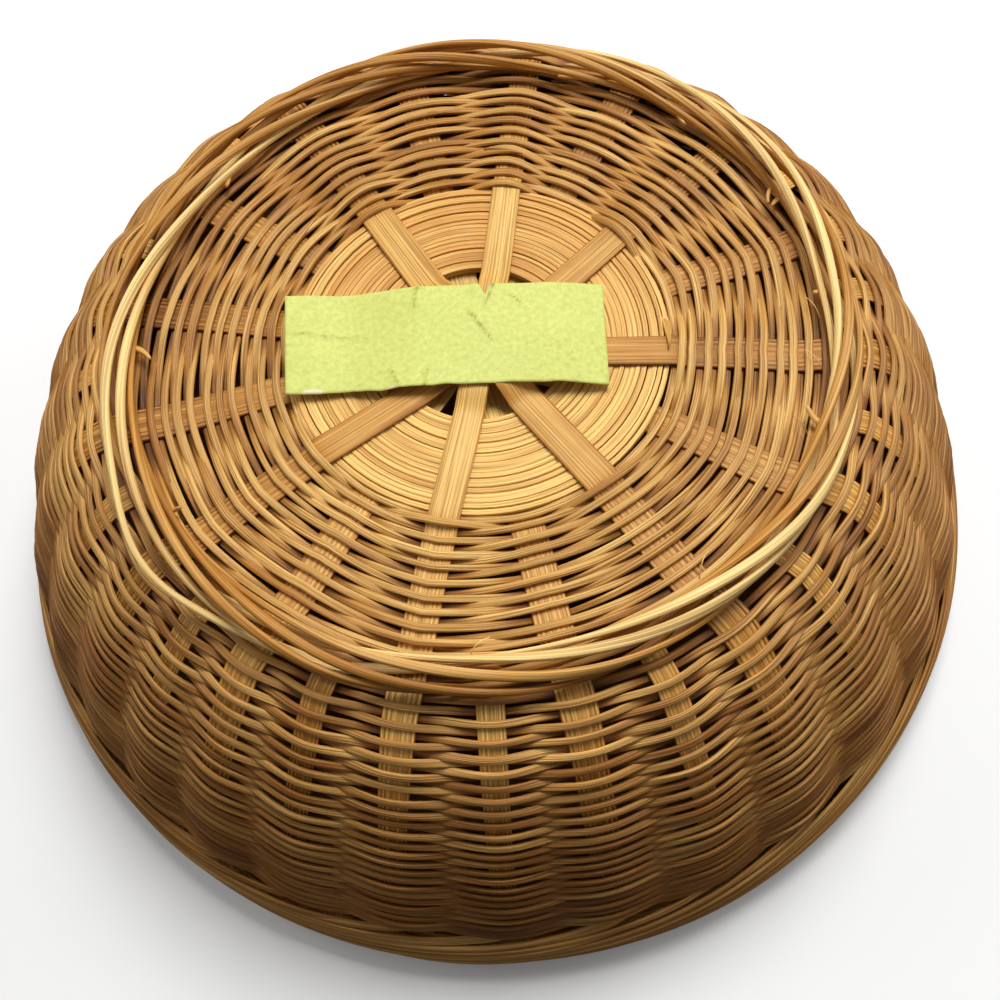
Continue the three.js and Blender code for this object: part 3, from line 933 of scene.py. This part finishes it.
# Floor, light and camera, in metres. Where the floor lies inside the basket, camera rays see it
# painted dark: painted shade.
studio = {
    "floorSize": 8.0,
    "floorSeen": linear(250, 250, 249),
    "floorShade": linear(110, 72, 40),
    "shadeRadius": 0.1475,
    "shadeEdge": 0.004,
    "floorBounce": 0.08,
    "fadeFrom": 0.45,
    "fadeTo": 1.1,
    "glow": 0.065,
    "ambient": 0.165,
    "keyPlace": (0.26, 0.58, 1.4),
    "keySize": 0.7,
    "keyWatts": 20.9,
    "sidePlaces": ((-1.0, 0.35, 0.8), (1.1, 0.3, 0.7)),
    "sideSize": 0.7,
    "sideWatts": (3.0, 3.6),
    "aimHeight": 0.06,
}


def makeFloor():
    half = studio["floorSize"] / 2
    mesh = bpy.data.meshes.new("floor")
    mesh.from_pydata([(-half, -half, 0), (half, -half, 0), (half, half, 0), (-half, half, 0)],
                     [], [(0, 1, 2, 3)])
    floor = bpy.data.objects.new("floor", mesh)
    bpy.context.scene.collection.objects.link(floor)
    material = bpy.data.materials.new("floorWhite")
    material.use_nodes = True
    nodes, links = material.node_tree.nodes, material.node_tree.links
    shader = nodes["Principled BSDF"]
    shader.inputs["Roughness"].default_value = 0.9
    shader.inputs["Specular IOR Level"].default_value = 0.1
    seen = nodes.new("ShaderNodeLightPath")
    colour = nodes.new("ShaderNodeMix")
    colour.data_type = "RGBA"
    colour.inputs["A"].default_value = [studio["floorBounce"]] * 3 + [1]
    place = nodes.new("ShaderNodeTexCoord")
    away = nodes.new("ShaderNodeVectorMath")
    away.operation = "LENGTH"
    links.new(place.outputs["Object"], away.inputs[0])
    inside = nodes.new("ShaderNodeMapRange")
    inside.inputs["From Min"].default_value = studio["shadeRadius"] - studio["shadeEdge"]
    inside.inputs["From Max"].default_value = studio["shadeRadius"]
    links.new(away.outputs["Value"], inside.inputs["Value"])
    # Painted shade: inside the basket's rim the floor is painted dark for the camera.
    shade = nodes.new("ShaderNodeMix")
    shade.data_type = "RGBA"
    shade.inputs["A"].default_value = studio["floorShade"]
    shade.inputs["B"].default_value = studio["floorSeen"]
    links.new(inside.outputs["Result"], shade.inputs["Factor"])
    links.new(shade.outputs["Result"], colour.inputs["B"])
    links.new(seen.outputs["Is Camera Ray"], colour.inputs["Factor"])
    links.new(colour.outputs["Result"], shader.inputs["Base Color"])
    # A little glow lightens the shadow; far off, the floor turns into the white backdrop.
    fade = nodes.new("ShaderNodeMapRange")
    fade.inputs["From Min"].default_value = studio["fadeFrom"]
    fade.inputs["From Max"].default_value = studio["fadeTo"]
    fade.inputs["To Min"].default_value = studio["glow"]
    links.new(away.outputs["Value"], fade.inputs["Value"])
    faded = nodes.new("ShaderNodeMath")
    faded.operation = "MULTIPLY"
    links.new(fade.outputs["Result"], faded.inputs[0])
    links.new(seen.outputs["Is Camera Ray"], faded.inputs[1])
    outside = nodes.new("ShaderNodeMath")
    outside.operation = "MULTIPLY"
    links.new(faded.outputs["Value"], outside.inputs[0])
    links.new(inside.outputs["Result"], outside.inputs[1])
    white = nodes.new("ShaderNodeEmission")
    both = nodes.new("ShaderNodeMixShader")
    links.new(outside.outputs["Value"], both.inputs["Fac"])
    links.new(shader.outputs["BSDF"], both.inputs[1])
    links.new(white.outputs["Emission"], both.inputs[2])
    links.new(both.outputs["Shader"], nodes["Material Output"].inputs["Surface"])
    mesh.materials.append(material)


def makeLamp(name, place, size, watts):
    lamp = bpy.data.lights.new(name, "AREA")
    lamp.size = size
    lamp.energy = watts
    holder = bpy.data.objects.new(name, lamp)
    bpy.context.scene.collection.objects.link(holder)
    holder.location = place
    aim = np.array([0, 0, studio["aimHeight"]]) - np.array(place)
    holder.rotation_euler = (
        math.atan2(math.hypot(aim[0], aim[1]), -aim[2]), 0, math.atan2(-aim[0], aim[1]))


makeFloor()
makeLamp("keyLamp", studio["keyPlace"], studio["keySize"], studio["keyWatts"])
for place, watts in zip(studio["sidePlaces"], studio["sideWatts"]):
    makeLamp("sideLamp", place, studio["sideSize"], watts)

world = bpy.data.worlds.new("studio")
bpy.context.scene.world = world
world.use_nodes = True
backdrop = world.node_tree.nodes["Background"]
seen = world.node_tree.nodes.new("ShaderNodeLightPath")
level = world.node_tree.nodes.new("ShaderNodeMapRange")
level.inputs["To Min"].default_value = studio["ambient"]
level.inputs["To Max"].default_value = 1.0
world.node_tree.links.new(seen.outputs["Is Camera Ray"], level.inputs["Value"])
world.node_tree.links.new(level.outputs["Result"], backdrop.inputs["Strength"])
backdrop.inputs["Color"].default_value = (1, 1, 1, 1)

camera = {
    "place": (0.0, -0.17331, 0.3681),
    "turn": (24.703, 2.084, -5.172),
    "lens": 43.2,
}
lens = bpy.data.cameras.new("photoCamera")
lens.lens = camera["lens"]
lens.sensor_width = 36
lens.clip_start = 0.01
viewer = bpy.data.objects.new("photoCamera", lens)
bpy.context.scene.collection.objects.link(viewer)
viewer.location = camera["place"]
viewer.rotation_euler = [math.radians(angle) for angle in camera["turn"]]
bpy.context.scene.camera = viewer
bpy.context.scene.view_settings.view_transform = "Standard"
print("studio set")
